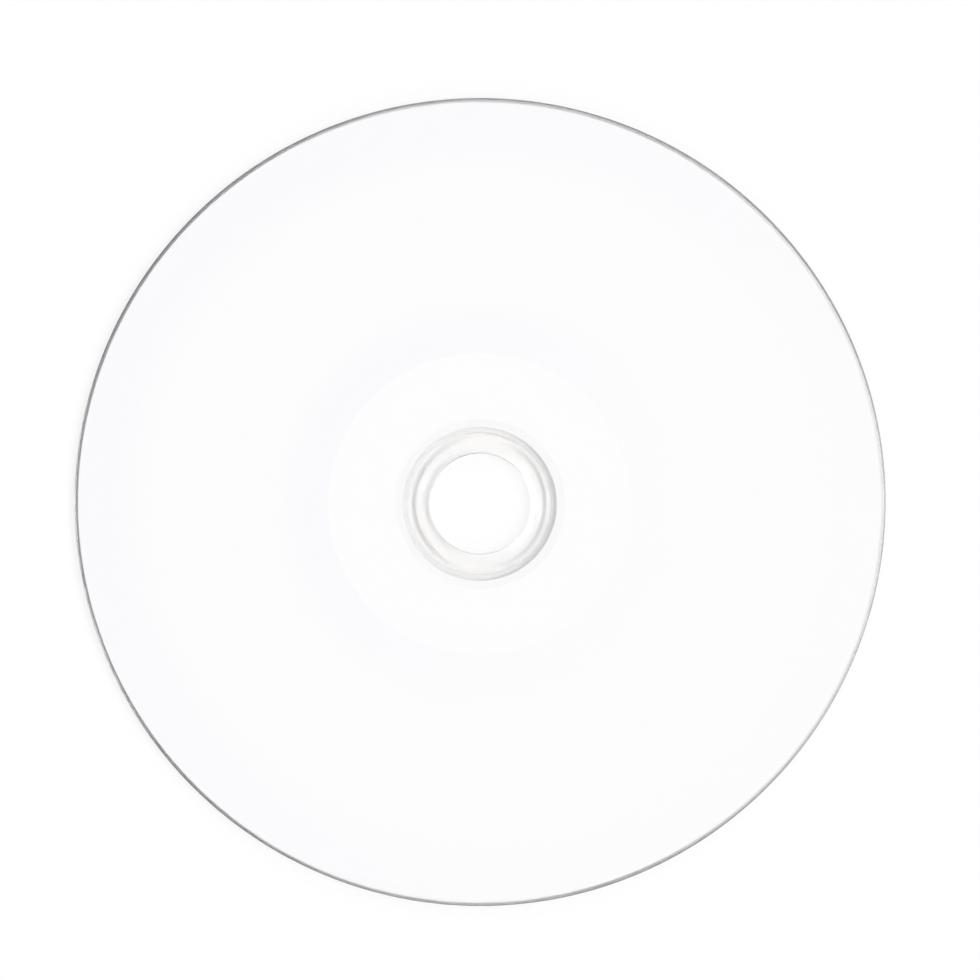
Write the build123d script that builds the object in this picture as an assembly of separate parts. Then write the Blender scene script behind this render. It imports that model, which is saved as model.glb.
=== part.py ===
"""A recordable optical disc with a white printable face, lying on its read side.

It is a laminate of two moulded clear halves. Between them lie the recording dye, the reflective film
and the adhesive, and the white coats lie on the upper half. Every piece is a turned ring about +Z,
apart from the print, which lies a little off centre. The origin is the centre of the disc on the plane
that the stacking ring stands on.
"""

from build123d import *
import os

os.makedirs("parts", exist_ok=True)

# Driving dimensions of the whole disc, in millimetres
disc_diameter = 120.0
centre_hole_diameter = 15.0
substrate_thickness = 0.58
bond_thickness = 0.04

# Edges of a moulded half
rim_edge_chamfer = 0.32
bond_line_chamfer = 0.05
hole_edge_chamfer = 0.03

# Fine grooves that the ejector sleeve leaves side by side in the read face
sleeve_mark_diameter = 19.4
sleeve_groove_count = 2
sleeve_groove_pitch = 0.3
sleeve_groove_width = 0.28
sleeve_groove_depth = 0.06

# Groove left by the stamper holder in the inner face of each half
holder_groove_diameter = 22.14
holder_groove_width = 1.08
holder_groove_depth = 0.05
holder_groove_wall_angle = 65.0

# Stacking ring that stands out of the read side
stack_ring_diameter = 34.6
stack_ring_width = 1.1
stack_ring_height = 0.2
stack_ring_flank_angle = 60.0

# Films and adhesive between the halves. The two films are drawn thicker than the real ones.
reflector_inner_diameter = 44.8
reflector_rim_margin = 1.3
reflector_thickness = 0.005
dye_thickness = 0.005
dye_setback = 0.2
bond_rim_setback = 0.25
bond_groove_land = 0.3

# White coats on the label side, printed this far off the disc's centre towards -X
print_offset = 0.08
coat_inner_diameter = 22.8
coat_rim_margin = 0.6
receptive_coat_thickness = 0.018
base_coat_thickness = 0.012
base_coat_hub_setback = 1.1
coat_step_width = 0.1

# Heights of the faces that pieces share, from the plane that the disc lies on
read_face = stack_ring_height
bond_low = read_face + substrate_thickness
bond_high = bond_low + bond_thickness
label_face = bond_high + substrate_thickness

# Diameters that follow from a neighbour
reflector_outer_diameter = disc_diameter - 2 * reflector_rim_margin
bond_outer_diameter = disc_diameter - 2 * bond_rim_setback
bond_inner_diameter = holder_groove_diameter + holder_groove_width + 2 * bond_groove_land
coat_outer_diameter = disc_diameter - 2 * coat_rim_margin


def ring_section(inner_diameter, outer_diameter, low, high):
    """The half section of a flat ring, as radius and height."""
    width = (outer_diameter - inner_diameter) / 2
    corner = Pos(inner_diameter / 2, low)
    return corner * Rectangle(width, high - low, align=(Align.MIN, Align.MIN))


def turned(section):
    """The solid that a half section sweeps round the disc's axis."""
    return revolve(Plane.XZ * section, axis=Axis.Z)


def corner_at(section, diameter, height):
    """The corner of a half section that lies nearest to a diameter and height."""
    place = Vector(diameter / 2, height)
    return min(section.vertices(), key=lambda corner: (Vector(corner.X, corner.Y) - place).length)


def sleeve_grooves():
    """Fine V-shaped grooves in the outer face, which lies at height 0."""
    profile = Polygon(
        (-sleeve_groove_width / 2, 0),
        (sleeve_groove_width / 2, 0),
        (0, sleeve_groove_depth),
        align=None,
    )
    span = sleeve_groove_pitch * (sleeve_groove_count - 1)
    first = (sleeve_mark_diameter - span) / 2
    return [Pos(first + turn * sleeve_groove_pitch) * profile for turn in range(sleeve_groove_count)]


def holder_groove():
    """Flat-bottomed groove with sloping walls in the inner face."""
    profile = Trapezoid(
        holder_groove_width,
        holder_groove_depth,
        holder_groove_wall_angle,
        align=(Align.CENTER, Align.MIN),
    )
    return Pos(holder_groove_diameter / 2, substrate_thickness) * Rot(0, 0, 180) * profile


def stack_ring():
    """Raised ring with sloping flanks and a flat foot, below the outer face."""
    profile = Trapezoid(
        stack_ring_width,
        stack_ring_height,
        stack_ring_flank_angle,
        align=(Align.CENTER, Align.MIN),
    )
    return Pos(stack_ring_diameter / 2, 0) * Rot(0, 0, 180) * profile


def moulded_half(is_read_side):
    """One clear half, with its outer face at height 0 and its inner face above."""
    section = ring_section(centre_hole_diameter, disc_diameter, 0, substrate_thickness)
    section = chamfer(corner_at(section, disc_diameter, 0), length=rim_edge_chamfer)
    bond_line_corner = corner_at(section, disc_diameter, substrate_thickness)
    section = chamfer(bond_line_corner, length=bond_line_chamfer)
    section = chamfer(corner_at(section, centre_hole_diameter, 0), length=hole_edge_chamfer)
    section = section - holder_groove()
    if is_read_side:
        section = section - sleeve_grooves() + stack_ring()
    return turned(section)


def dye_section():
    """Recording dye, which lies on the grooved inner face of the read side half."""
    return ring_section(
        reflector_inner_diameter + 2 * dye_setback,
        reflector_outer_diameter - 2 * dye_setback,
        bond_low,
        bond_low + dye_thickness,
    )


def film_section():
    """Dye and reflective film together."""
    top = bond_low + dye_thickness + reflector_thickness
    return ring_section(reflector_inner_diameter, reflector_outer_diameter, bond_low, top)


def reflector_section():
    """Reflective film over the dye, with a lip down to the half at both edges."""
    return film_section() - dye_section()


def bond_section():
    """Adhesive between the halves, with the films bedded into its underside."""
    layer = ring_section(bond_inner_diameter, bond_outer_diameter, bond_low, bond_high)
    return layer - film_section()


def base_coat_section():
    """White base coat, printed on the label side half."""
    return ring_section(
        coat_inner_diameter + 2 * base_coat_hub_setback,
        coat_outer_diameter,
        label_face,
        label_face + base_coat_thickness,
    )


def receptive_coat_section():
    """Ink-receptive coat, which steps down to the half past the inner edge of the base coat."""
    hub_edge = coat_inner_diameter / 2
    base_edge = hub_edge + base_coat_hub_setback
    rim_edge = coat_outer_diameter / 2
    base_top = label_face + base_coat_thickness
    outline = Polyline(
        (hub_edge, label_face),
        (hub_edge, label_face + receptive_coat_thickness),
        (base_edge - coat_step_width, label_face + receptive_coat_thickness),
        (base_edge, base_top + receptive_coat_thickness),
        (rim_edge, base_top + receptive_coat_thickness),
        (rim_edge, base_top),
        (base_edge, base_top),
        (base_edge, label_face),
        close=True,
    )
    return make_face(outline)


def printed(section):
    """The solid of a printed coat, off the disc's centre."""
    return Pos(-print_offset, 0, 0) * turned(section)


def write(node, solid):
    """Writes one piece as its own file, and prints its volume."""
    export_step(solid, f"parts/{node}.step")
    print(f"{node}: {solid.volume:.2f} mm3")


read_side = Pos(0, 0, read_face) * moulded_half(is_read_side=True)
label_side = Pos(0, 0, label_face) * Rot(180, 0, 0) * moulded_half(is_read_side=False)

write("read_side_substrate", read_side)
write("recording_dye", turned(dye_section()))
write("reflective_film", turned(reflector_section()))
write("bonding_layer", turned(bond_section()))
write("label_side_substrate", label_side)
write("white_base_coat", printed(base_coat_section()))
write("ink_receptive_coat", printed(receptive_coat_section()))
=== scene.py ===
"""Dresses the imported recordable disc: finely turned clear halves, bright films, adhesive and white coats.

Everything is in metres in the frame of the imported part: +Z up, the disc's centre on the resting plane.
"""

import math

import bpy
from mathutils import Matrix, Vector


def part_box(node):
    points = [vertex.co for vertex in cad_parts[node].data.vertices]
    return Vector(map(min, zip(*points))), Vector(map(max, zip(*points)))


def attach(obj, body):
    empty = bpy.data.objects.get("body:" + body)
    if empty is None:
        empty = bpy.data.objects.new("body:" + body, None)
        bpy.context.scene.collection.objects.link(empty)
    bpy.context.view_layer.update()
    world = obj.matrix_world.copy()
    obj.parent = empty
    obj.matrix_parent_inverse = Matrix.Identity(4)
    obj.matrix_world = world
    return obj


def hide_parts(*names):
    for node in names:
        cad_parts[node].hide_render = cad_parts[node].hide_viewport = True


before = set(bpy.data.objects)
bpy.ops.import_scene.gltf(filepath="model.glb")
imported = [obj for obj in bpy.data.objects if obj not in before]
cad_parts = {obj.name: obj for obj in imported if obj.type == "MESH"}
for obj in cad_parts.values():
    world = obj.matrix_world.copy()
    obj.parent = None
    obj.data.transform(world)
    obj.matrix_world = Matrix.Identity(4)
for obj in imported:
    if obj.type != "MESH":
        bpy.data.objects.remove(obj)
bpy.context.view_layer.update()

MM = 0.001

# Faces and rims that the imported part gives
DISC_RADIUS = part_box("label_side_substrate")[1].x
LABEL_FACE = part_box("label_side_substrate")[1].z
BOND_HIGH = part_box("label_side_substrate")[0].z
BOND_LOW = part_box("read_side_substrate")[1].z
READ_FACE = BOND_LOW - (LABEL_FACE - BOND_HIGH)
BOND_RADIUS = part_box("bonding_layer")[1].x
FILM_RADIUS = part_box("reflective_film")[1].x
FILM_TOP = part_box("reflective_film")[1].z
DYE_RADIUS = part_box("recording_dye")[1].x
DYE_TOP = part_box("recording_dye")[1].z
COAT_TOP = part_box("ink_receptive_coat")[1].z
BASE_COAT_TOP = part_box("white_base_coat")[1].z

# Section of the moulded halves
HOLE_RADIUS = 7.5 * MM
HOLE_CHAMFER = 0.03 * MM
RIM_CHAMFER = 0.32 * MM
BOND_LINE_CHAMFER = 0.05 * MM
SLEEVE_MARK_RADIUS = 9.7 * MM
SLEEVE_GROOVE_COUNT = 2
SLEEVE_GROOVE_PITCH = 0.3 * MM
SLEEVE_GROOVE_WIDTH = 0.28 * MM
SLEEVE_GROOVE_DEPTH = 0.06 * MM
HOLDER_GROOVE_RADIUS = 11.07 * MM
HOLDER_GROOVE_WIDTH = 1.08 * MM
HOLDER_GROOVE_DEPTH = 0.05 * MM
HOLDER_GROOVE_WALL_ANGLE = math.radians(65)
STACK_RING_RADIUS = 17.3 * MM
STACK_RING_WIDTH = 1.1 * MM
STACK_RING_HEIGHT = READ_FACE
STACK_RING_FLANK_ANGLE = math.radians(60)

# Inner edges of the films and the adhesive
BOND_INNER_RADIUS = 11.91 * MM
FILM_INNER_RADIUS = 22.4 * MM
DYE_INNER_RADIUS = 22.6 * MM

# White coats. The print lies a little off the disc's centre.
PRINT_OFFSET = -0.08 * MM
COAT_RADIUS = 59.4 * MM
COAT_INNER_RADIUS = 11.4 * MM
BASE_COAT_INNER_RADIUS = 12.5 * MM
RECEPTIVE_COAT = COAT_TOP - BASE_COAT_TOP
COAT_STEP = 0.1 * MM

# How deep a film sinks into the clear half it lies on, so that no air shows between them
CONTACT = 0.001 * MM

# Rounding of the edges. It takes at most one part in RUN_PARTS of a run that ends at the edge.
EDGE_ROUNDING = 0.015 * MM
COAT_EDGE_ROUNDING = 0.01 * MM
RIM_ROUNDING = 0.2 * MM
RIM_ZONE = 0.5 * MM
RUN_PARTS = 3

# How finely the pieces are turned
TURN_STEPS = 720
ARC_STEPS = 4
SHARP_ANGLE = math.radians(25)


def rounded(outline, radius, rim_radius=0.0):
    """The closed outline with its corners rounded, and rounded more at the disc's rim.

    It is the list of its points and the list of the outward normals there.
    """
    points, normals = [], []
    count = len(outline)
    for i, corner in enumerate(outline):
        corner = Vector(corner)
        back = Vector(outline[i - 1]) - corner
        ahead = Vector(outline[(i + 1) % count]) - corner
        turn = math.pi - back.angle(ahead)
        bend = max(radius, rim_radius) if corner.x > DISC_RADIUS - RIM_ZONE else radius
        reach = min(bend * math.tan(turn / 2), back.length / RUN_PARTS, ahead.length / RUN_PARTS)
        start = corner + back.normalized() * reach
        end = corner + ahead.normalized() * reach
        for k in range(ARC_STEPS + 1):
            t = k / ARC_STEPS
            points.append(start * (1 - t) ** 2 + corner * 2 * t * (1 - t) + end * t**2)
            heading = (corner - start) * (1 - t) + (end - corner) * t
            normals.append(Vector((heading.y, -heading.x)).normalized())
    return points, normals


def swept(section):
    """Copies of a list of radii and heights all the way round the axis."""
    places = []
    for step in range(TURN_STEPS):
        angle = 2 * math.pi * step / TURN_STEPS
        east, north = math.cos(angle), math.sin(angle)
        places += [(radius * east, radius * north, height) for radius, height in section]
    return places


def turned(name, outline, normals=None):
    """A closed solid of revolution from an outline of radius and height.

    Its corners are sharp, unless the outline comes with the normals of a rounded one.
    """
    rows = len(outline)
    faces = []
    for step in range(TURN_STEPS):
        here = step * rows
        there = (step + 1) % TURN_STEPS * rows
        for row in range(rows):
            ahead = (row + 1) % rows
            faces.append((here + row, there + row, there + ahead, here + ahead))
    mesh = bpy.data.meshes.new(name)
    mesh.from_pydata(swept(outline), [], faces)
    mesh.validate()
    mesh.update()
    mesh.shade_smooth()
    if normals:
        mesh.normals_split_custom_set_from_vertices(swept(normals))
    else:
        mesh.set_sharp_from_angle(angle=SHARP_ANGLE)
    piece = bpy.data.objects.new(name, mesh)
    bpy.context.scene.collection.objects.link(piece)
    return piece


def dress(piece, node, material):
    """The piece stands for a node, rides on the disc and takes its material."""
    piece.data.materials.append(material)
    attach(piece, "root")
    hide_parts(node)


def ring_outline(inner, outer, low, high):
    """Section of a flat ring, from two radii and two heights."""
    return [(inner, low), (outer, low), (outer, high), (inner, high)]


def sleeve_grooves(face, inward):
    """Fine V-shaped grooves side by side in the outer face.

    Here and below, inward is 1 where the half's inner face is the upper one and -1 where it is the lower.
    """
    first = SLEEVE_MARK_RADIUS - (SLEEVE_GROOVE_COUNT - 1) * SLEEVE_GROOVE_PITCH / 2
    corners = []
    for k in range(SLEEVE_GROOVE_COUNT):
        middle = first + k * SLEEVE_GROOVE_PITCH
        corners.append((middle - SLEEVE_GROOVE_WIDTH / 2, face))
        corners.append((middle, face + inward * SLEEVE_GROOVE_DEPTH))
        corners.append((middle + SLEEVE_GROOVE_WIDTH / 2, face))
    return corners


def stack_ring(face, inward):
    """Raised ring with sloping flanks and a flat foot on the outer face."""
    flank = STACK_RING_HEIGHT / math.tan(STACK_RING_FLANK_ANGLE)
    half = STACK_RING_WIDTH / 2
    foot = face - inward * STACK_RING_HEIGHT
    return [
        (STACK_RING_RADIUS - half, face),
        (STACK_RING_RADIUS - half + flank, foot),
        (STACK_RING_RADIUS + half - flank, foot),
        (STACK_RING_RADIUS + half, face),
    ]


def holder_groove(face, inward):
    """Flat-bottomed groove with sloping walls in the inner face, from its outer edge to its inner one."""
    wall = HOLDER_GROOVE_DEPTH / math.tan(HOLDER_GROOVE_WALL_ANGLE)
    half = HOLDER_GROOVE_WIDTH / 2
    bottom = face - inward * HOLDER_GROOVE_DEPTH
    return [
        (HOLDER_GROOVE_RADIUS + half, face),
        (HOLDER_GROOVE_RADIUS + half - wall, bottom),
        (HOLDER_GROOVE_RADIUS - half + wall, bottom),
        (HOLDER_GROOVE_RADIUS - half, face),
    ]


def moulded_outline(outer, inner, outer_corners=()):
    """Section of one clear half from its hole round to its rim and back.

    outer and inner are the heights of its faces, and outer_corners are the grooves and rings on the outer
    face, from the hole outwards.
    """
    inward = 1 if inner > outer else -1
    outline = [
        (HOLE_RADIUS, inner),
        (HOLE_RADIUS, outer + inward * HOLE_CHAMFER),
        (HOLE_RADIUS + HOLE_CHAMFER, outer),
        *outer_corners,
        (DISC_RADIUS - RIM_CHAMFER, outer),
        (DISC_RADIUS, outer + inward * RIM_CHAMFER),
        (DISC_RADIUS, inner - inward * BOND_LINE_CHAMFER),
        (DISC_RADIUS - BOND_LINE_CHAMFER, inner),
        *holder_groove(inner, inward),
    ]
    if inward < 0:
        outline.reverse()
    return outline


class Graph:
    """Adds linked nodes to one node tree."""

    def __init__(self, tree):
        self.tree = tree

    def feed(self, socket, value):
        """Links a socket to another node's output, or sets it to a plain value."""
        if isinstance(value, bpy.types.NodeSocket):
            self.tree.links.new(value, socket)
        else:
            socket.default_value = value

    def node(self, kind, inputs, **settings):
        """A new node with its settings made and its sockets fed."""
        node = self.tree.nodes.new(kind)
        for name, value in settings.items():
            setattr(node, name, value)
        for socket, value in inputs.items():
            self.feed(node.inputs[socket], value)
        return node

    def maths(self, operation, *values):
        """The result of one operation on numbers."""
        return self.node("ShaderNodeMath", dict(enumerate(values)), operation=operation).outputs[0]

    def vector(self, operation, *values):
        """The result of one vector operation, which is a number for a length or a dot product."""
        node = self.node("ShaderNodeVectorMath", dict(enumerate(values)), operation=operation)
        return node.outputs["Value" if operation in ("LENGTH", "DOT_PRODUCT") else "Vector"]

    def axes(self, vector):
        """The outputs X, Y and Z of a vector."""
        return self.node("ShaderNodeSeparateXYZ", {0: vector}).outputs

    def ramp(self, value, low, high, start, end):
        """A smooth step from start to end while the value goes from low to high."""
        limits = {"Value": value, "From Min": low, "From Max": high, "To Min": start, "To Max": end}
        return self.node("ShaderNodeMapRange", limits, interpolation_type="SMOOTHSTEP").outputs["Result"]

    def blend(self, share, first, second):
        """A colour between two colours."""
        node = self.node("ShaderNodeMix", {}, data_type="RGBA")
        feeds = (("Factor", "VALUE", share), ("A", "RGBA", first), ("B", "RGBA", second))
        for name, kind, value in feeds:
            socket = next(one for one in node.inputs if one.name == name and one.type == kind)
            self.feed(socket, value)
        return next(one for one in node.outputs if one.type == "RGBA")

    def noise(self, size, detail=2.0, place=None):
        """Noise with features of a size in metres, from 0 to 1."""
        inputs = {"Vector": place or self.place(), "Scale": 1 / size, "Detail": detail}
        return self.node("ShaderNodeTexNoise", inputs).outputs["Fac"]

    def place(self):
        """Where a point lies on its piece."""
        return self.node("ShaderNodeTexCoord", {}).outputs["Object"]

    def flat_place(self):
        """Where a point lies on its piece, seen along the axis."""
        return self.vector("MULTIPLY", self.place(), (1, 1, 0))

    def radius(self):
        """Distance from the piece's own axis."""
        return self.vector("LENGTH", self.flat_place())

    def drawn_noise(self, across, along):
        """Noise drawn out round the disc.

        Its features are as wide as across on a radius, and as long as along at the disc's rim.
        """
        outward = self.vector("NORMALIZE", self.flat_place())
        stretch = DISC_RADIUS / along
        turn = self.vector("MULTIPLY", outward, (stretch, stretch, stretch))
        rings = self.node("ShaderNodeCombineXYZ", {"Z": self.maths("DIVIDE", self.radius(), across)})
        return self.noise(1.0, place=self.vector("ADD", turn, rings.outputs[0]))

    def weave(self, pitch):
        """The crossing threads of a plain weave, from 0 to 1."""
        axes = self.axes(self.place())
        turns = [self.maths("MULTIPLY", axes[name], 2 * math.pi / pitch) for name in "XY"]
        waves = [self.maths("SINE", turn) for turn in turns]
        return self.maths("MULTIPLY_ADD", self.maths("MULTIPLY", *waves), 0.5, 0.5)

    def bump(self, height, distance, normal=None):
        """The normal that a height gives, where 1 stands for a distance, on top of another if given."""
        inputs = {"Height": height, "Distance": distance}
        if normal:
            inputs["Normal"] = normal
        return self.node("ShaderNodeBump", inputs).outputs["Normal"]

    def tangent(self):
        """The direction round the disc."""
        return self.node("ShaderNodeTangent", {}, axis="Z").outputs["Tangent"]


def surface(name, sockets):
    """A material, its Principled shader with some sockets set, and the graph that feeds the others."""
    material = bpy.data.materials.new(name)
    material.use_nodes = True
    shader = material.node_tree.nodes["Principled BSDF"]
    for socket, value in sockets.items():
        shader.inputs[socket].default_value = value
    return material, shader, Graph(material.node_tree)


# Most of a noise lies between these values
NOISE_SPAN = (0.3, 0.7)
FINE_DETAIL = 4.0

# Clear plastic, with painted shade that greys its rim. Its flow in the mould has left it faintly wavy.
CLEAR_IOR = 1.585
CLEAR_COLOUR = (0.992, 0.989, 0.987, 1)
RIM_SHADE_COLOUR = (0.69, 0.69, 0.7, 1)
RIM_SHADE_RADIUS = (59.5 * MM, 59.8 * MM)
FLOW_WIDTH = 1.6 * MM
FLOW_HEIGHT = 0.002 * MM
CLEAR_ROUGHNESS = (0.0, 0.03)


def clear_polycarbonate():
    """Clear moulded plastic with the faint waves of its flow, and painted shade that greys it round the
    rim.
    """
    sockets = {"IOR": CLEAR_IOR, "Transmission Weight": 1.0}
    material, shader, graph = surface("clear_polycarbonate", sockets)
    # Painted shade: the plastic greyer round the rim
    rim_shade = graph.ramp(graph.radius(), *RIM_SHADE_RADIUS, 0, 1)
    flow = graph.noise(FLOW_WIDTH)
    graph.feed(shader.inputs["Base Color"], graph.blend(rim_shade, CLEAR_COLOUR, RIM_SHADE_COLOUR))
    graph.feed(shader.inputs["Roughness"], graph.ramp(flow, *NOISE_SPAN, *CLEAR_ROUGHNESS))
    graph.feed(shader.inputs["Normal"], graph.bump(flow, FLOW_HEIGHT))
    return material


# Cured adhesive, a little yellower where it is thicker
ADHESIVE_IOR = 1.5
ADHESIVE_COLOUR = (0.975, 0.975, 0.965, 1)
THICK_ADHESIVE_COLOUR = (0.94, 0.94, 0.92, 1)
THICK_ADHESIVE_SPAN = (0.4, 0.7)
ADHESIVE_WAVE = 2.5 * MM
ADHESIVE_WAVE_HEIGHT = 0.002 * MM
ADHESIVE_ROUGHNESS = (0.0, 0.04)


def clear_adhesive():
    """Cured clear adhesive that has run unevenly between the halves."""
    sockets = {"IOR": ADHESIVE_IOR, "Transmission Weight": 1.0}
    material, shader, graph = surface("clear_adhesive", sockets)
    run = graph.noise(ADHESIVE_WAVE, detail=FINE_DETAIL)
    thick = graph.ramp(run, *THICK_ADHESIVE_SPAN, 0, 1)
    graph.feed(shader.inputs["Base Color"], graph.blend(thick, ADHESIVE_COLOUR, THICK_ADHESIVE_COLOUR))
    graph.feed(shader.inputs["Roughness"], graph.ramp(run, *NOISE_SPAN, *ADHESIVE_ROUGHNESS))
    graph.feed(shader.inputs["Normal"], graph.bump(run, ADHESIVE_WAVE_HEIGHT))
    return material


# Bright film. Its tracks draw its gloss out across them, and those of the dye do the same.
SILVER_COLOUR = (0.9, 0.9, 0.91, 1)
THIN_SILVER_COLOUR = (0.8, 0.79, 0.78, 1)
THIN_SILVER_SPAN = (0.45, 0.75)
SILVER_PATCH = 6 * MM
SILVER_DRAW = 0.5
SILVER_ROUGHNESS = (0.06, 0.14)
TRACK_BAND = 0.35 * MM
TRACK_BAND_HEIGHT = 0.0004 * MM


def silver_film():
    """Sputtered silver alloy, slightly thinner in places, over the rings of the tracks."""
    sockets = {"Metallic": 1.0, "Anisotropic": SILVER_DRAW}
    material, shader, graph = surface("silver_film", sockets)
    thin = graph.ramp(graph.noise(SILVER_PATCH), *THIN_SILVER_SPAN, 0, 1)
    rings = graph.drawn_noise(TRACK_BAND, DISC_RADIUS)
    graph.feed(shader.inputs["Base Color"], graph.blend(thin, SILVER_COLOUR, THIN_SILVER_COLOUR))
    graph.feed(shader.inputs["Roughness"], graph.ramp(rings, *NOISE_SPAN, *SILVER_ROUGHNESS))
    graph.feed(shader.inputs["Normal"], graph.bump(rings, TRACK_BAND_HEIGHT))
    graph.feed(shader.inputs["Tangent"], graph.tangent())
    return material


# Dye, spun outwards from the hub: bluer where it is thin and more purple where it is thick
THIN_DYE_COLOUR = (0.28, 0.22, 0.6, 1)
THICK_DYE_COLOUR = (0.44, 0.28, 0.56, 1)
SPIN_STREAK_WIDTH = 1.5 * MM
SPIN_STREAK_LENGTH = 25 * MM
SPIN_STREAK_SHARE = 0.25
DYE_DRAW = 0.6
DYE_ROUGHNESS = (0.07, 0.16)


def violet_dye():
    """Violet dye in front of the bright film, with the faint streaks of its spinning."""
    sockets = {"Metallic": 1.0, "Anisotropic": DYE_DRAW}
    material, shader, graph = surface("violet_dye", sockets)
    streak = graph.drawn_noise(SPIN_STREAK_LENGTH, SPIN_STREAK_WIDTH)
    outward = graph.ramp(graph.radius(), DYE_INNER_RADIUS, DYE_RADIUS, 0, 1 - SPIN_STREAK_SHARE)
    thick = graph.maths("ADD", outward, graph.maths("MULTIPLY", streak, SPIN_STREAK_SHARE))
    rings = graph.drawn_noise(TRACK_BAND, DISC_RADIUS)
    graph.feed(shader.inputs["Base Color"], graph.blend(thick, THIN_DYE_COLOUR, THICK_DYE_COLOUR))
    graph.feed(shader.inputs["Roughness"], graph.ramp(rings, *NOISE_SPAN, *DYE_ROUGHNESS))
    graph.feed(shader.inputs["Normal"], graph.bump(rings, TRACK_BAND_HEIGHT))
    graph.feed(shader.inputs["Tangent"], graph.tangent())
    return material


# Base ink, pressed through the fine mesh of a screen
INK_COLOUR = (0.93, 0.93, 0.93, 1)
THIN_INK_COLOUR = (0.89, 0.89, 0.9, 1)
THIN_INK_SPAN = (0.4, 0.8)
INK_PATCH = 1.2 * MM
SCREEN_PITCH = 0.12 * MM
SCREEN_HEIGHT = 0.0015 * MM
INK_ROUGHNESS = (0.4, 0.55)


def white_base_ink():
    """Satin white ink with the weave of the screen that printed it."""
    material, shader, graph = surface("white_base_ink", {})
    weave = graph.weave(SCREEN_PITCH)
    thin = graph.ramp(graph.noise(INK_PATCH, detail=FINE_DETAIL), *THIN_INK_SPAN, 0, 1)
    graph.feed(shader.inputs["Base Color"], graph.blend(thin, INK_COLOUR, THIN_INK_COLOUR))
    graph.feed(shader.inputs["Roughness"], graph.ramp(weave, 0, 1, *INK_ROUGHNESS))
    graph.feed(shader.inputs["Normal"], graph.bump(weave, SCREEN_HEIGHT))
    return material


# Receptive coat. It is a little greyer where no base ink lies under it. At the two ends of the recorded
# band it has a lilac tint, partly the film and the dye under the print and partly painted shade that is
# darkest towards the upper left.
COAT_COLOUR = (0.988, 0.988, 0.988, 1)
COAT_OVER_FILM_COLOUR = (0.982, 0.982, 0.985, 1)
BARE_COAT_COLOUR = (0.952, 0.953, 0.959, 1)
LILAC_SHADE_COLOUR = (0.962, 0.954, 0.984, 1)
BARE_COAT_EDGE = (12.4 * MM, 12.8 * MM)
FILM_EDGE = (22.2 * MM, 22.6 * MM)
INNER_LILAC_END = (25.5 * MM, 31.0 * MM)
OUTER_LILAC_START = (48.0 * MM, 55.0 * MM)
LILAC_SHADE_TOWARDS = (-0.87, 0.5, 0)
LILAC_SHADE_SHARE = (0.15, 0.95)
PAPER_GRAIN = 0.06 * MM
PAPER_GRAIN_HEIGHT = 0.004 * MM
PAPER_CLOUD = 2.2 * MM
PAPER_CLOUD_HEIGHT = 0.003 * MM
COAT_ROUGHNESS = (0.72, 0.88)
COAT_GLOSS = 0.2


def lilac_and_shade_share(graph, radius):
    """How much lilac the coat has: partly the film's tint at both ends of the recorded band, and more
    towards the upper left as painted shade.
    """
    inner_end = graph.ramp(radius, *INNER_LILAC_END, 1, 0)
    outer_end = graph.ramp(radius, *OUTER_LILAC_START, 0, 1)
    towards = graph.vector("DOT_PRODUCT", graph.place(), LILAC_SHADE_TOWARDS)
    side = graph.ramp(graph.maths("DIVIDE", towards, radius), -1, 1, *LILAC_SHADE_SHARE)
    return graph.maths("MULTIPLY", graph.maths("ADD", inner_end, outer_end), side)


def white_receptive_coat():
    """Matte white coat that takes ink, with a fine grain and a faint cloudiness."""
    material, shader, graph = surface("white_receptive_coat", {"Specular IOR Level": COAT_GLOSS})
    radius = graph.radius()
    over_film = graph.ramp(radius, *FILM_EDGE, 0, 1)
    lilac = graph.maths("MULTIPLY", over_film, lilac_and_shade_share(graph, radius))
    bare = graph.ramp(radius, *BARE_COAT_EDGE, 1, 0)
    colour = graph.blend(over_film, COAT_COLOUR, COAT_OVER_FILM_COLOUR)
    # Lilac tint, partly painted shade that is darkest towards the upper left
    colour = graph.blend(lilac, colour, LILAC_SHADE_COLOUR)
    colour = graph.blend(bare, colour, BARE_COAT_COLOUR)
    cloud = graph.noise(PAPER_CLOUD, detail=FINE_DETAIL)
    clouded = graph.bump(cloud, PAPER_CLOUD_HEIGHT)
    grain = graph.noise(PAPER_GRAIN)
    graph.feed(shader.inputs["Base Color"], colour)
    graph.feed(shader.inputs["Roughness"], graph.ramp(cloud, *NOISE_SPAN, *COAT_ROUGHNESS))
    graph.feed(shader.inputs["Normal"], graph.bump(grain, PAPER_GRAIN_HEIGHT, normal=clouded))
    return material


# The two moulded halves
clear = clear_polycarbonate()
read_side_corners = sleeve_grooves(READ_FACE, 1) + stack_ring(READ_FACE, 1)
read_outline = moulded_outline(READ_FACE, BOND_LOW, read_side_corners)
read_half = turned("read_half", *rounded(read_outline, EDGE_ROUNDING, RIM_ROUNDING))
dress(read_half, "read_side_substrate", clear)
label_outline = moulded_outline(LABEL_FACE, BOND_HIGH)
label_half = turned("label_half", *rounded(label_outline, EDGE_ROUNDING, RIM_ROUNDING))
dress(label_half, "label_side_substrate", clear)

# The dye, the bright film that covers it and comes down to the half at both edges, and the adhesive that
# beds them in
dye_outline = ring_outline(DYE_INNER_RADIUS, DYE_RADIUS, BOND_LOW - CONTACT, DYE_TOP)
dress(turned("dye", dye_outline), "recording_dye", violet_dye())

film_outline = [
    (FILM_INNER_RADIUS, BOND_LOW - CONTACT),
    (DYE_INNER_RADIUS, BOND_LOW - CONTACT),
    (DYE_INNER_RADIUS, DYE_TOP),
    (DYE_RADIUS, DYE_TOP),
    (DYE_RADIUS, BOND_LOW - CONTACT),
    (FILM_RADIUS, BOND_LOW - CONTACT),
    (FILM_RADIUS, FILM_TOP),
    (FILM_INNER_RADIUS, FILM_TOP),
]
dress(turned("film", film_outline), "reflective_film", silver_film())

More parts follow.
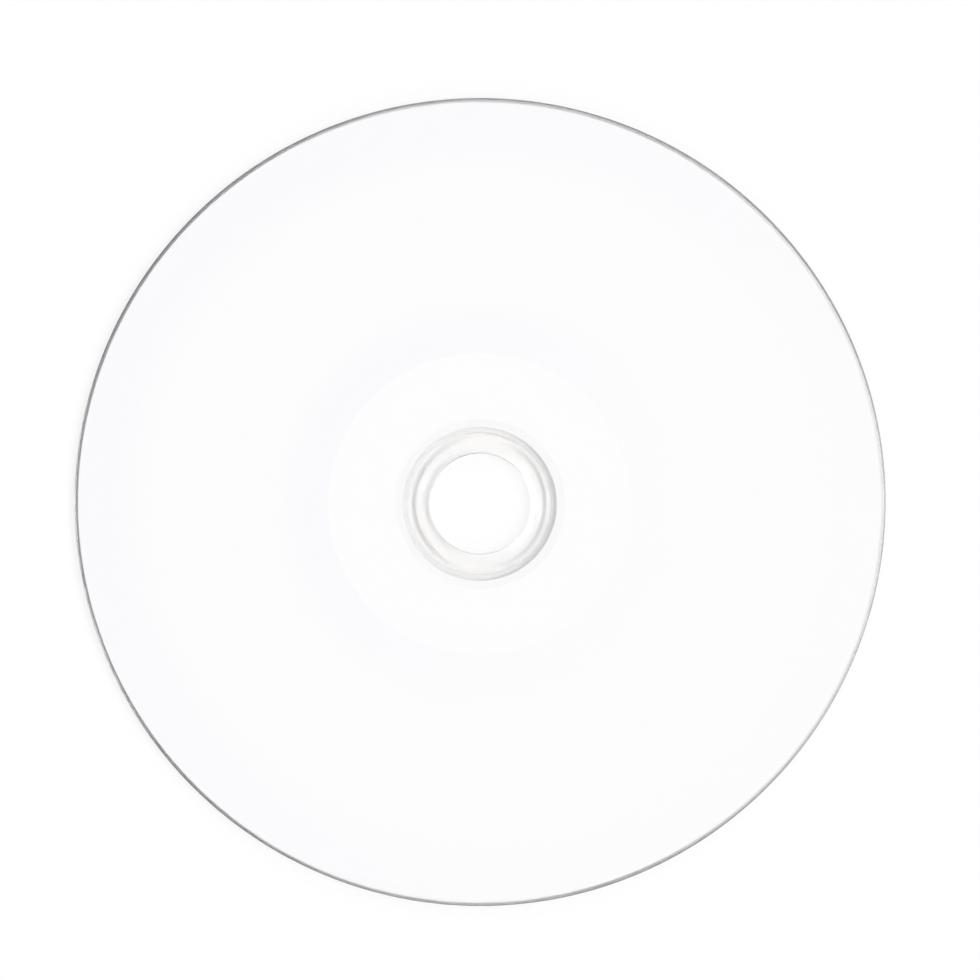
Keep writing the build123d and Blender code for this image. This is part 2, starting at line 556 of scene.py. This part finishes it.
bond_outline = [
    (BOND_INNER_RADIUS, BOND_LOW - CONTACT),
    (FILM_INNER_RADIUS, BOND_LOW - CONTACT),
    (FILM_INNER_RADIUS, FILM_TOP),
    (FILM_RADIUS, FILM_TOP),
    (FILM_RADIUS, BOND_LOW - CONTACT),
    (BOND_RADIUS, BOND_LOW - CONTACT),
    (BOND_RADIUS, BOND_HIGH + CONTACT),
    (BOND_INNER_RADIUS, BOND_HIGH + CONTACT),
]
dress(turned("adhesive", bond_outline), "bonding_layer", clear_adhesive())

# The two white coats
base_outline = ring_outline(BASE_COAT_INNER_RADIUS, COAT_RADIUS, LABEL_FACE - CONTACT, BASE_COAT_TOP)
base_coat = turned("base_coat", base_outline)
base_coat.location.x = PRINT_OFFSET
dress(base_coat, "white_base_coat", white_base_ink())

coat_outline = [
    (COAT_INNER_RADIUS, LABEL_FACE - CONTACT),
    (BASE_COAT_INNER_RADIUS, LABEL_FACE - CONTACT),
    (BASE_COAT_INNER_RADIUS, BASE_COAT_TOP),
    (COAT_RADIUS, BASE_COAT_TOP),
    (COAT_RADIUS, COAT_TOP),
    (BASE_COAT_INNER_RADIUS, COAT_TOP),
    (BASE_COAT_INNER_RADIUS - COAT_STEP, LABEL_FACE + RECEPTIVE_COAT),
    (COAT_INNER_RADIUS, LABEL_FACE + RECEPTIVE_COAT),
]
receptive_coat = turned("receptive_coat", *rounded(coat_outline, COAT_EDGE_ROUNDING))
receptive_coat.location.x = PRINT_OFFSET
dress(receptive_coat, "ink_receptive_coat", white_receptive_coat())

# Floor. Each glow is the share of its white that no shadow darkens: in the open, and as the clear plastic
# shows it under the disc, in the hole and past the print's edge at the right. A side goes from -1 at the
# left to 1 at the right.
FLOOR_SIZE = 6.0
FLOOR_DROP = 0.01 * MM
FLOOR_WHITE = 0.8
OPEN_GLOW = 0.85
THROUGH_GLOW = 0.25
HOLE_GLOW = 0.85
HOLE_GLOW_RADIUS = (7.2 * MM, 7.5 * MM)
RIM_GLOW = 0.9
RIM_GLOW_RADIUS = (59.3 * MM, 59.5 * MM)
RIM_GLOW_SIDE = (0.3, 0.9)


def glow_under_disc(paint):
    """The floor's glow as gloss and clear plastic show it, with a painted pool of light under the rim at
    the right.
    """
    radius = paint.radius()
    eastward = paint.maths("DIVIDE", paint.axes(paint.place())["X"], radius)
    at_rim = paint.ramp(radius, *RIM_GLOW_RADIUS, 0, 1)
    # Painted light: a pool of glow under the right side of the rim
    rim = paint.maths("MULTIPLY", at_rim, paint.ramp(eastward, *RIM_GLOW_SIDE, 0, RIM_GLOW))
    disc = paint.ramp(radius, *RIM_GLOW_RADIUS, THROUGH_GLOW, 0)
    hole = paint.ramp(radius, *HOLE_GLOW_RADIUS, HOLE_GLOW - THROUGH_GLOW, 0)
    return paint.maths("ADD", rim, paint.maths("ADD", disc, hole))


def floor_paint():
    """White paint that keeps the disc's shadow, and that the view from below goes through."""
    material = bpy.data.materials.new("floor")
    material.use_nodes = True
    material.node_tree.nodes.clear()
    paint = Graph(material.node_tree)
    path = paint.node("ShaderNodeLightPath", {}).outputs
    mirrored = paint.maths("MAXIMUM", path["Is Glossy Ray"], path["Is Transmission Ray"])
    seen = paint.maths("MAXIMUM", path["Is Camera Ray"], mirrored)
    glow = paint.maths(
        "ADD",
        paint.maths("MULTIPLY", path["Is Camera Ray"], OPEN_GLOW),
        paint.maths("MULTIPLY", mirrored, glow_under_disc(paint)),
    )
    shade = paint.maths(
        "ADD",
        paint.maths("MULTIPLY", seen, paint.maths("SUBTRACT", 1.0, glow)),
        paint.maths("MULTIPLY", paint.maths("SUBTRACT", 1.0, seen), FLOOR_WHITE),
    )
    colour = paint.node("ShaderNodeCombineColor", {0: shade, 1: shade, 2: shade}).outputs[0]
    diffuse = paint.node("ShaderNodeBsdfDiffuse", {"Color": colour})
    shine = paint.node("ShaderNodeEmission", {"Color": (1, 1, 1, 1), "Strength": glow})
    both = paint.node("ShaderNodeAddShader", {0: diffuse.outputs[0], 1: shine.outputs[0]})
    from_below = paint.maths(
        "MAXIMUM",
        paint.node("ShaderNodeNewGeometry", {}).outputs["Backfacing"],
        paint.maths("MINIMUM", path["Transparent Depth"], 1.0),
    )
    gap = paint.node("ShaderNodeBsdfTransparent", {})
    mix = paint.node("ShaderNodeMixShader", {0: from_below, 1: both.outputs[0], 2: gap.outputs[0]})
    paint.node("ShaderNodeOutputMaterial", {"Surface": mix.outputs[0]})
    return material


bpy.ops.mesh.primitive_plane_add(size=FLOOR_SIZE, location=(0, 0, -FLOOR_DROP))
floor = bpy.context.object
floor.name = "floor"
floor.data.materials.append(floor_paint())

# Studio: a soft light overhead that is long from left to right and dips where the camera stands, a key
# lamp at the right and two side lamps, in a dim room. Each lamp is its azimuth, its elevation and its
# half width, in degrees, and its strength. A rise goes from 0 at the horizon to 1 straight above.
ROOM_LEVEL = 0.05
OVERHEAD_LEVEL = 2.4
OVERHEAD_RISE = (0.7, 0.9)
OVERHEAD_HALF_WIDTH = (0.1, 0.3)
CAMERA_SHADE_LEVEL = 0.35
CAMERA_SHADE_RISE = (0.96, 0.985)
KEY_LAMP = (0, 50, 16, 6.3)
SIDE_LAMP_NEAR = (75, 32, 16, 3.3)
SIDE_LAMP_FAR = (-75, 32, 16, 3.3)
LAMP_SOFTNESS = 0.25
BACKDROP_GLOW = 0.75
HORIZON_RISE = (0.15, 0.35)


def lamp_light(studio, direction, azimuth, elevation, half_width, strength):
    """Light from a round softbox far away, with a soft edge."""
    turn, rise = math.radians(azimuth), math.radians(elevation)
    towards = (math.cos(turn) * math.cos(rise), math.sin(turn) * math.cos(rise), math.sin(rise))
    outside = math.cos(math.radians(half_width * (1 + LAMP_SOFTNESS)))
    inside = math.cos(math.radians(half_width * (1 - LAMP_SOFTNESS)))
    return studio.ramp(studio.vector("DOT_PRODUCT", direction, towards), outside, inside, 0, strength)


def overhead_light(studio, aside, height):
    """Light of the room and of the long soft light overhead."""
    overhead = studio.ramp(height, *OVERHEAD_RISE, 0, OVERHEAD_LEVEL)
    aside_share = studio.ramp(studio.maths("ABSOLUTE", aside), *OVERHEAD_HALF_WIDTH, 1, 0)
    light = studio.maths("ADD", studio.maths("MULTIPLY", overhead, aside_share), ROOM_LEVEL)
    return studio.maths("MULTIPLY", light, studio.ramp(height, *CAMERA_SHADE_RISE, 1, CAMERA_SHADE_LEVEL))


def studio_world():
    """The studio, mirrored below the floor, so that the disc's underside is lit like its top.

    The camera sees a white backdrop. Gloss and clear plastic show it too, near the horizon and in a view
    from below.
    """
    world = bpy.data.worlds.new("studio")
    world.use_nodes = True
    world.node_tree.nodes.clear()
    studio = Graph(world.node_tree)
    axes = studio.axes(studio.node("ShaderNodeTexCoord", {}).outputs["Generated"])
    height = studio.maths("ABSOLUTE", axes["Z"])
    upward = {"X": axes["X"], "Y": axes["Y"], "Z": height}
    direction = studio.node("ShaderNodeCombineXYZ", upward).outputs[0]
    light = overhead_light(studio, axes["Y"], height)
    for lamp in (KEY_LAMP, SIDE_LAMP_NEAR, SIDE_LAMP_FAR):
        light = studio.maths("ADD", light, lamp_light(studio, direction, *lamp))

    path = studio.node("ShaderNodeLightPath", {}).outputs
    mirrored = studio.maths("MAXIMUM", path["Is Glossy Ray"], path["Is Transmission Ray"])
    mirrored = studio.maths("MULTIPLY", mirrored, studio.maths("LESS_THAN", path["Diffuse Depth"], 1.0))
    from_below = studio.maths("MINIMUM", path["Transparent Depth"], 1.0)
    behind = studio.maths("MAXIMUM", from_below, studio.ramp(height, *HORIZON_RISE, 1, 0))
    mirrored = studio.maths("MULTIPLY", mirrored, behind)
    backdrop = studio.maths("MULTIPLY_ADD", mirrored, BACKDROP_GLOW, path["Is Camera Ray"])
    lit = studio.maths("SUBTRACT", 1.0, studio.maths("MAXIMUM", path["Is Camera Ray"], mirrored))
    strength = studio.maths("MULTIPLY_ADD", light, lit, backdrop)
    background = studio.node("ShaderNodeBackground", {"Color": (1, 1, 1, 1), "Strength": strength})
    studio.node("ShaderNodeOutputWorld", {"Surface": background.outputs[0]})
    return world


bpy.context.scene.world = studio_world()

# Camera: almost straight above, tilted so that the disc's near side is at the top of the picture
CAMERA_DISTANCE = 1.2
CAMERA_TILT = math.radians(4.8)
CAMERA_REACH = (0.01, 20)
PIXELS = 980
DISC_PIXELS = 405.6
DISC_CENTRE_PIXEL = (479.65, 503.45)
SENSOR = 36


def aimed_camera():
    """A camera that shows the disc as wide and as far off the picture's middle as the photo does."""
    data = bpy.data.cameras.new("camera")
    data.sensor_width = SENSOR
    data.lens = SENSOR / PIXELS * DISC_PIXELS * CAMERA_DISTANCE / DISC_RADIUS
    data.clip_start, data.clip_end = CAMERA_REACH
    camera = bpy.data.objects.new("camera", data)
    bpy.context.scene.collection.objects.link(camera)
    away = Vector((0, math.sin(CAMERA_TILT), math.cos(CAMERA_TILT)))
    up = Vector((0, math.cos(CAMERA_TILT), -math.sin(CAMERA_TILT)))
    metres_per_pixel = DISC_RADIUS / DISC_PIXELS
    middle = (PIXELS - 1) / 2
    across = (middle - DISC_CENTRE_PIXEL[0]) * metres_per_pixel
    above = (DISC_CENTRE_PIXEL[1] - middle) * metres_per_pixel
    camera.location = away * CAMERA_DISTANCE + up * above + Vector((across, 0, LABEL_FACE))
    camera.rotation_euler = (-CAMERA_TILT, 0, 0)
    return camera


bpy.context.scene.camera = aimed_camera()

# Light passes many clear faces, and what it lights through them is neither blurred nor clamped
LIGHT_BOUNCES = 32
bpy.context.scene.view_settings.view_transform = "Standard"
bpy.context.scene.cycles.max_bounces = LIGHT_BOUNCES
bpy.context.scene.cycles.transmission_bounces = LIGHT_BOUNCES
bpy.context.scene.cycles.blur_glossy = 0.0
bpy.context.scene.cycles.sample_clamp_indirect = 0.0
